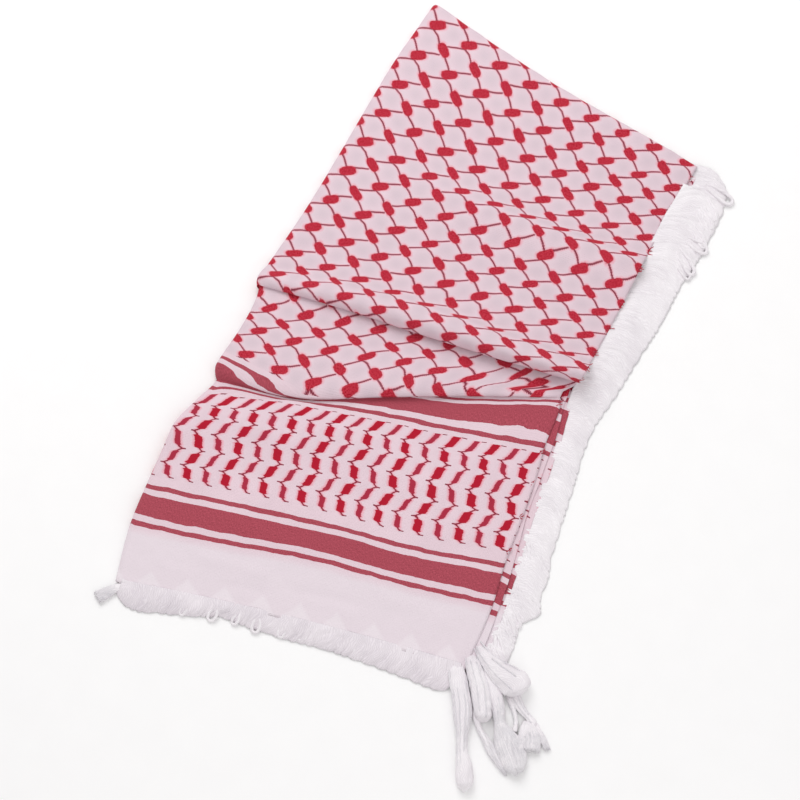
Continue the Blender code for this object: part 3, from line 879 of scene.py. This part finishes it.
def smoothWay(stops, count):
    # count + 1 points on a smooth curve through stops, each with any number of values
    stops = [np.array(stop, dtype=float) for stop in stops]
    gaps = [max(0.3, float(np.linalg.norm(b[:2] - a[:2]))) for a, b in zip(stops, stops[1:])]
    total = sum(gaps)
    points = []
    for i in range(count + 1):
        want = total * i / count
        span = 0
        while span < len(gaps) - 1 and want > gaps[span]:
            want -= gaps[span]
            span += 1
        points.append(hermite(stops, gaps, span, min(1.0, want / gaps[span])))
    return points


def polyline(points, share):
    # Point at a share of an outline's length
    gaps = [math.dist(a, b) for a, b in zip(points, points[1:])]
    want = share * sum(gaps)
    for a, b, gap in zip(points, points[1:], gaps):
        if want <= gap or b is points[-1]:
            t = min(1.0, want / gap)
            return (a[0] + (b[0] - a[0]) * t, a[1] + (b[1] - a[1]) * t)
        want -= gap


fringeLook = {
    "columnStep": 0.7, "rows": 22,
    "bundle": 9.5,             # knotted loops stand about this far apart
    "strand": 2.6,             # plies in a bundle
    "bundleHeight": 0.7, "strandHeight": 0.24,
    "scallop": 1.3,
}


def buildFringe(name, roots, tips, bend, rootLevel, seed, material):
    # The loops lie so close that they make one soft band, with a ridge for each loop and finer
    # ones for its plies; bend turns the strands aside on their way, as shares of their length
    length = sum(math.dist(a, b) for a, b in zip(roots, roots[1:]))
    columns, rows = round(length / fringeLook["columnStep"]), fringeLook["rows"]
    grid, measures = [], []
    for j in range(rows + 1):
        v = j / rows
        row, marks = [], []
        for i in range(columns + 1):
            t = i / columns
            along = t * length
            drift = 14.0 * noise.noise(Vector((along / 21, v * 0.8, seed)))
            slope = 5.0 * noise.noise(Vector((along / 15, v * 1.6, seed + 4)))
            rootX, rootY = polyline(roots, t)
            tipX, tipY = polyline(tips, t)
            wayX, wayY = tipX - rootX, tipY - rootY
            aside = bend * math.sin(math.pi * v) + slope * v * (1 - v) * 0.05
            phase = math.pi * (along + drift) / fringeLook["bundle"]
            loop = abs(math.cos(phase))
            ply = math.cos(2 * math.pi * (along + drift * 0.7 + 2.2 * v * v) / fringeLook["strand"])
            ply *= 0.4 + 1.2 * abs(noise.noise(Vector((along / 9, v * 2, seed + 9))))
            reach = v * (1 + fringeLook["scallop"] * (loop - 0.5) * v ** 4 / max(8.0,
                                                                                 math.hypot(wayX, wayY)))
            x = rootX + wayX * reach - wayY * aside
            y = rootY + wayY * reach + wayX * aside
            soft = math.sin(math.pi * min(1.0, 0.12 + v * 0.86)) ** 0.5
            level = rootLevel(x, y) * (1 - v) ** 1.2 + 1.5 * v + 1.5 * math.sin(math.pi * v)
            level += fringeLook["bundleHeight"] * soft * loop + fringeLook["strandHeight"] * soft * ply
            level += 1.1 * soft * noise.noise(Vector((x / 15, y / 15, seed)))
            fall = max(0.0, (v - 0.86) / 0.14)
            row.append((x, y, max(0.75, level * math.sqrt(max(0.0, 1 - fall * fall)))))
            marks.append((along, v * math.hypot(wayX, wayY)))
        grid.append(row)
        measures.append(marks)
    obj = gridMesh(name, np.array(grid), measures, material, "cord")
    thicken(obj, 0.6, 1 if name == "hem_fringe" else -1)
    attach(obj, "root")
    return obj


# Outer outlines of the fringe, from the top fold down the side and from left to right at the hem
sideTips = ((160, 318), (169, 309), (173, 287), (173, 262), (172, 240), (168, 204), (167, 162), (163, 127),
            (160, 90), (155, 57), (156, 32), (162, -3), (167, -39), (171, -65), (176, -80), (177,
                                                                                             -98), (183,
                                                                                                    -110),
            (172, -125), (174, -137), (176, -150), (175, -164))
hemTips = ((-131, -250), (-118, -256), (-105, -254), (-97, -250), (-78, -243), (-60, -235), (-46, -228),
           (-14, -225),
           (13, -220), (43, -213), (80, -208), (107, -205), (132, -203), (142, -199))


def sideRoots():
    # Above the tuck the fringe covers the edge of the cloth
    points = []
    for y in range(318, -170, -8):
        inside = 12.0 if y > 300 else 3.5 + 3.0 * min(1.0, max(0.0, (y - 60) / 30))
        points.append((sideAt(y).third - inside, float(y)))
    return points


def sideRootLevel(x, y):
    over = min(1.0, max(0.0, (y - 60) / 30)) * (y < 296)
    return max(2.4, edgeLevel(y) - (1 - over) * (2 * layers["step"] + 1.1) + 0.9 * over)


def hemAt(x):
    hem = clothLines[-1]
    share = min(1.0, max(0.0, (x - hem.left - 5) / (hem.right - hem.left - 5)))
    return acrossLine(hem.y, share)


sideFringePiece = buildFringe("side_fringe", sideRoots(), sideTips, 0.16, sideRootLevel, 2.0, cordMaterial)
hemRoots = [(x, hemAt(x) + 4.0) for x in range(-132, 146, 6)]
hemFringePiece = buildFringe("hem_fringe", hemRoots, hemTips, 0.14, lambda x, y: 5.2, 11.0,
                             hemCordMaterial)
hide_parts("fringe_right")
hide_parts("fringe_bottom")


def looseLoops():
    # Single loops that stand out of the band at the top corner, along the side and at the hem
    rng = random.Random(5)
    cords = []

    def loop(x, y, heading, length, width, radius, level):
        heading = math.radians(heading)
        aheadX, aheadY = math.cos(heading), math.sin(heading)
        acrossX, acrossY = -aheadY, aheadX
        stops = []
        for share, aside, lift in ((0, 0.25, 0.0), (0.35, 0.45, 0.9), (0.75, 0.55, 0.8), (0.97, 0.3, 0.1),
                                   (1.0, 0, 0),
                                   (0.97, -0.3, 0.1), (0.75, -0.5, 0.8), (0.35, -0.35, 0.9), (0, -0.2, 0.0)):
            stops.append((x + aheadX * length * share + acrossX * width * aside,
                          y + aheadY * length * share + acrossY * width * aside,
                          max(radius, level * (1 - 0.6 * share) + lift), radius))
        cords.append(([tuple(point) for point in smoothWay(stops, 24)], 8, 3.2))

    for k in range(9):
        loop(148 + rng.uniform(-4, 3), 305 - 9.5 * k, rng.uniform(-45, 5), rng.uniform(22, 30),
             rng.uniform(5, 8),
             rng.uniform(1.3, 1.8), 5.0)
    for k in range(13):
        side = sideAt(-52 - 9 * k)
        loop(side.third + 1, -52 - 9 * k, rng.uniform(-62, -38), rng.uniform(17, 23), rng.uniform(4, 6),
             rng.uniform(1.5, 2.0), 4.2)
    for k in range(13):
        x = -112 + 19 * k + rng.uniform(-4, 4)
        loop(x, hemAt(x) - 1, rng.uniform(-95, -55), rng.uniform(10, 14), rng.uniform(4, 6),
             rng.uniform(1.0, 1.4), 4.0)
    cordMesh("loose_loops", cords, cordMaterial)


looseLoops()
print("fringes made")

# A tassel is one or more bundles of yarn: the way of each with its half width, how many
# strands show round it, their twist in turns, its height, and how frayed its end is
Bundle = namedtuple("Bundle", "way strands twist height fray")
tassels = {
    "corner_tassel_1": [
        Bundle(((137, -172, 5.5), (146, -186, 7), (154, -197, 7), (160, -206, 7.4), (164, -214, 6.8),
                (167, -220, 5.2), (171, -229, 4.2), (175, -237, 4.4), (181, -246, 6.4), (185, -253, 6.8),
                (188, -259, 6.2), (190, -264, 3)), 8, 0.2, 10.5, 0),
    ],
    "corner_tassel_2": [
        Bundle(((145, -164, 4.5), (157, -177, 6.5), (166, -187, 7.4), (173, -197, 7.4), (178, -205, 6.4),
                (180, -209, 5)), 6, 0.6, 13, 0),
        Bundle(((166, -196, 3), (172, -206, 3), (179, -214, 2.2), (186, -219, 2.6), (195, -225, 4.0),
                (203, -230, 3.4), (209, -234, 2.2), (213, -237, 0.8)), 5, 0.5, 5, 1),
    ],
    "corner_tassel_3": [
        Bundle(((152, -160, 3.5), (169, -176, 5.5), (179, -186, 6), (187, -196, 5.0), (192, -204, 4.2),
                (198, -210, 8), (206, -217, 10.5), (213, -223, 10.5), (218, -228, 8.5), (221, -230, 5)),
               18, 0.2, 9, 2.5),
    ],
    "corner_tassel_4": [
        Bundle(((146, -154, 3.5), (162, -164, 6.5), (173, -168, 9.5), (183, -170, 11.5), (191, -172, 12),
                (197, -176, 8)), 5, 0.1, 15, 0),
        Bundle(((188, -176, 5), (195, -181, 4.6), (203, -186, 3.2), (210, -189, 2.4), (215, -191, 3.2),
                (218, -191, 2.4)), 5, 0.3, 5, 0),
        Bundle(((186, -178, 2.6), (193, -185, 2.2), (199, -191, 1.7), (203, -197, 1.6), (205, -205, 2.4)),
               3, 0.4, 4, 0),
        Bundle(((211, -191, 4), (214, -198, 7), (218, -205, 9), (221, -212, 8.5)), 16, 0.1, 7, 2.5),
        Bundle(((216, -191, 2.6), (222, -196, 2.8), (228, -200, 2.8), (233, -204, 2.2)), 5, 0.1, 4, 3),
    ],
    "corner_tuft": [
        Bundle(((-126, -240, 3), (-132, -246, 3.2), (-138, -254, 4.6), (-142, -260, 5.2)), 7, 0.2, 4.5, 1.5),
    ],
}


def bundleBody(bundle, verts, faces, uvs):
    # A soft flattened body with a groove between each pair of strands
    sides = max(32, bundle.strands * 6)
    rings = 60
    way = smoothWay(bundle.way, rings)
    base = len(verts)
    length = 0.0
    for i, (x, y, half) in enumerate(way):
        share = i / rings
        sideX, sideY = sidewaysAt(way, i)
        if i:
            length += math.hypot(x - way[i - 1][0], y - way[i - 1][1])
        close = min(1.0, (1 - share) * 14, share * 14 + 0.3)
        half = max(0.25, half * math.sqrt(1 - (1 - close) ** 2) if close < 1 else half)
        deep = min(half, bundle.height / 2) * min(1.0, 0.3 + 3.5 * share)
        for k in range(sides):
            angle = 2 * math.pi * k / sides
            turn = bundle.twist * 2 * math.pi * share
            wander = 0.9 * noise.noise(Vector((share * 3, math.cos(angle), math.sin(angle))))
            groove = abs(math.cos(0.5 * bundle.strands * (angle - turn + wander)))
            bump = 1 + 0.085 * (groove - 0.6) + 0.07 * noise.noise(Vector((x / 4, y / 4, angle)))
            place = (x + sideX * math.cos(angle) * half * bump, y + sideY * math.cos(angle) * half * bump,
                     deep + 0.2 + math.sin(angle) * deep * bump)
            verts.append(toScene(place[0], place[1], max(place[2], 0.12)))
            uvs.append((half * angle * mm, length * mm))
    faces += tubeFaces(base, rings, sides)


def sidewaysAt(way, i):
    # Unit x and y at right angles to the way at its point i
    ahead, behind = way[min(i + 1, len(way) - 1)], way[max(i - 1, 0)]
    dx, dy = ahead[0] - behind[0], ahead[1] - behind[1]
    size = math.hypot(dx, dy)
    return -dy / size, dx / size


def bundleStrands(bundle, rng):
    # Loose strands over the body, and frayed ends past it
    cords = []
    way = smoothWay(bundle.way, 40)
    count = round(bundle.strands * (3.2 if bundle.fray else 0.7))
    for k in range(count):
        angle = math.pi * (k + 0.5) / count + rng.uniform(-0.1, 0.1)
        begin = rng.uniform(0.35, 0.6) if bundle.fray else rng.uniform(0.0, 0.35)
        end = 1.0 if bundle.fray else rng.uniform(0.7, 0.96)
        points = []
        for i, (x, y, half) in enumerate(way):
            share = i / 40
            if not begin <= share <= end:
                continue
            sideX, sideY = sidewaysAt(way, i)
            deep = min(half, bundle.height / 2)
            turn = angle + 0.5 * bundle.twist * (share - 0.5)
            aside = math.cos(turn) * half * 0.98
            z = deep + 0.2 + abs(math.sin(turn)) * deep * 0.98
            thick = (0.42 if bundle.fray else 0.75) * (0.85 + 0.2 * math.sin(k * 1.7))
            points.append((x + sideX * aside, y + sideY * aside, max(z, 0.5), thick))
        if len(points) < 4:
            continue
        if bundle.fray:
            x, y, z, thick = points[-1]
            px, py = points[-3][:2]
            size = math.hypot(x - px, y - py)
            more = bundle.fray * rng.uniform(0.2, 1.0)
            spread = rng.uniform(-0.5, 0.5)
            points.append((x + (x - px) / size * more - (y - py) / size * spread,
                           y + (y - py) / size * more + (x - px) / size * spread,
                           max(0.4, z * 0.55), thick * 0.8))
        else:
            points[0] = (*points[0][:2], points[0][2] - 0.7, 0.3)
            points[-1] = (*points[-1][:2], points[-1][2] - 0.7, 0.3)
        cords.append((points, 6, 2.4))
    return cords


for name, bundles in tassels.items():
    rng = random.Random(ord(name[-1]))
    verts, faces, uvs = [], [], []
    strands = []
    for bundle in bundles:
        bundleBody(bundle, verts, faces, uvs)
        strands.extend(bundleStrands(bundle, rng))
    body = cordPiece(name + "_yarn", verts, faces, uvs, cordMaterial)
    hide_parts(name)
    cordMesh(name + "_strands", strands, brushMaterial)


def weftEnds():
    # Cut red yarn ends at the right selvedge, one little tuft beside each row of cross knots
    rng = random.Random(9)
    cords = []
    lastColumn = [(topGrid[j, -1], topMeasures[j][-1][1]) for j in range(len(topGrid))]
    rows = [cut["firstRow"] + cut["latticeUp"] * (k + 0.5) for k in range(-1, 11)]
    rows += [chevrons["from"] + 30.4 * k for k in range(4)]
    for row in rows:
        (x, y, z), _ = min(lastColumn, key=lambda item: abs(item[1] - row))
        for k in range(6):
            heading = math.radians(rng.uniform(-60, 60))
            length = rng.uniform(2.0, 4.5) * (1.0 if row > 240 else 0.5)
            startX, startY = x - rng.uniform(0.5, 3), y + rng.uniform(-3, 3)
            points = [(startX + math.cos(heading) * length * t,
                       startY + math.sin(heading) * length * t + 1.2 * t * t,
                       z + 0.4 - 0.5 * t, 0.42 * (1 - 0.3 * t)) for t in (0, 0.3, 0.6, 0.85, 1.0)]
            cords.append((points, 6, 1.4))
    cordMesh("cut_weft_ends", cords, weftMaterial)


weftEnds()
print("tassels made")

# Floor

floor = newObject("floor", [(-3, -3, 0), (3, -3, 0), (3, 3, 0), (-3, 3, 0)], [(0, 1, 2, 3)], paperFloor())
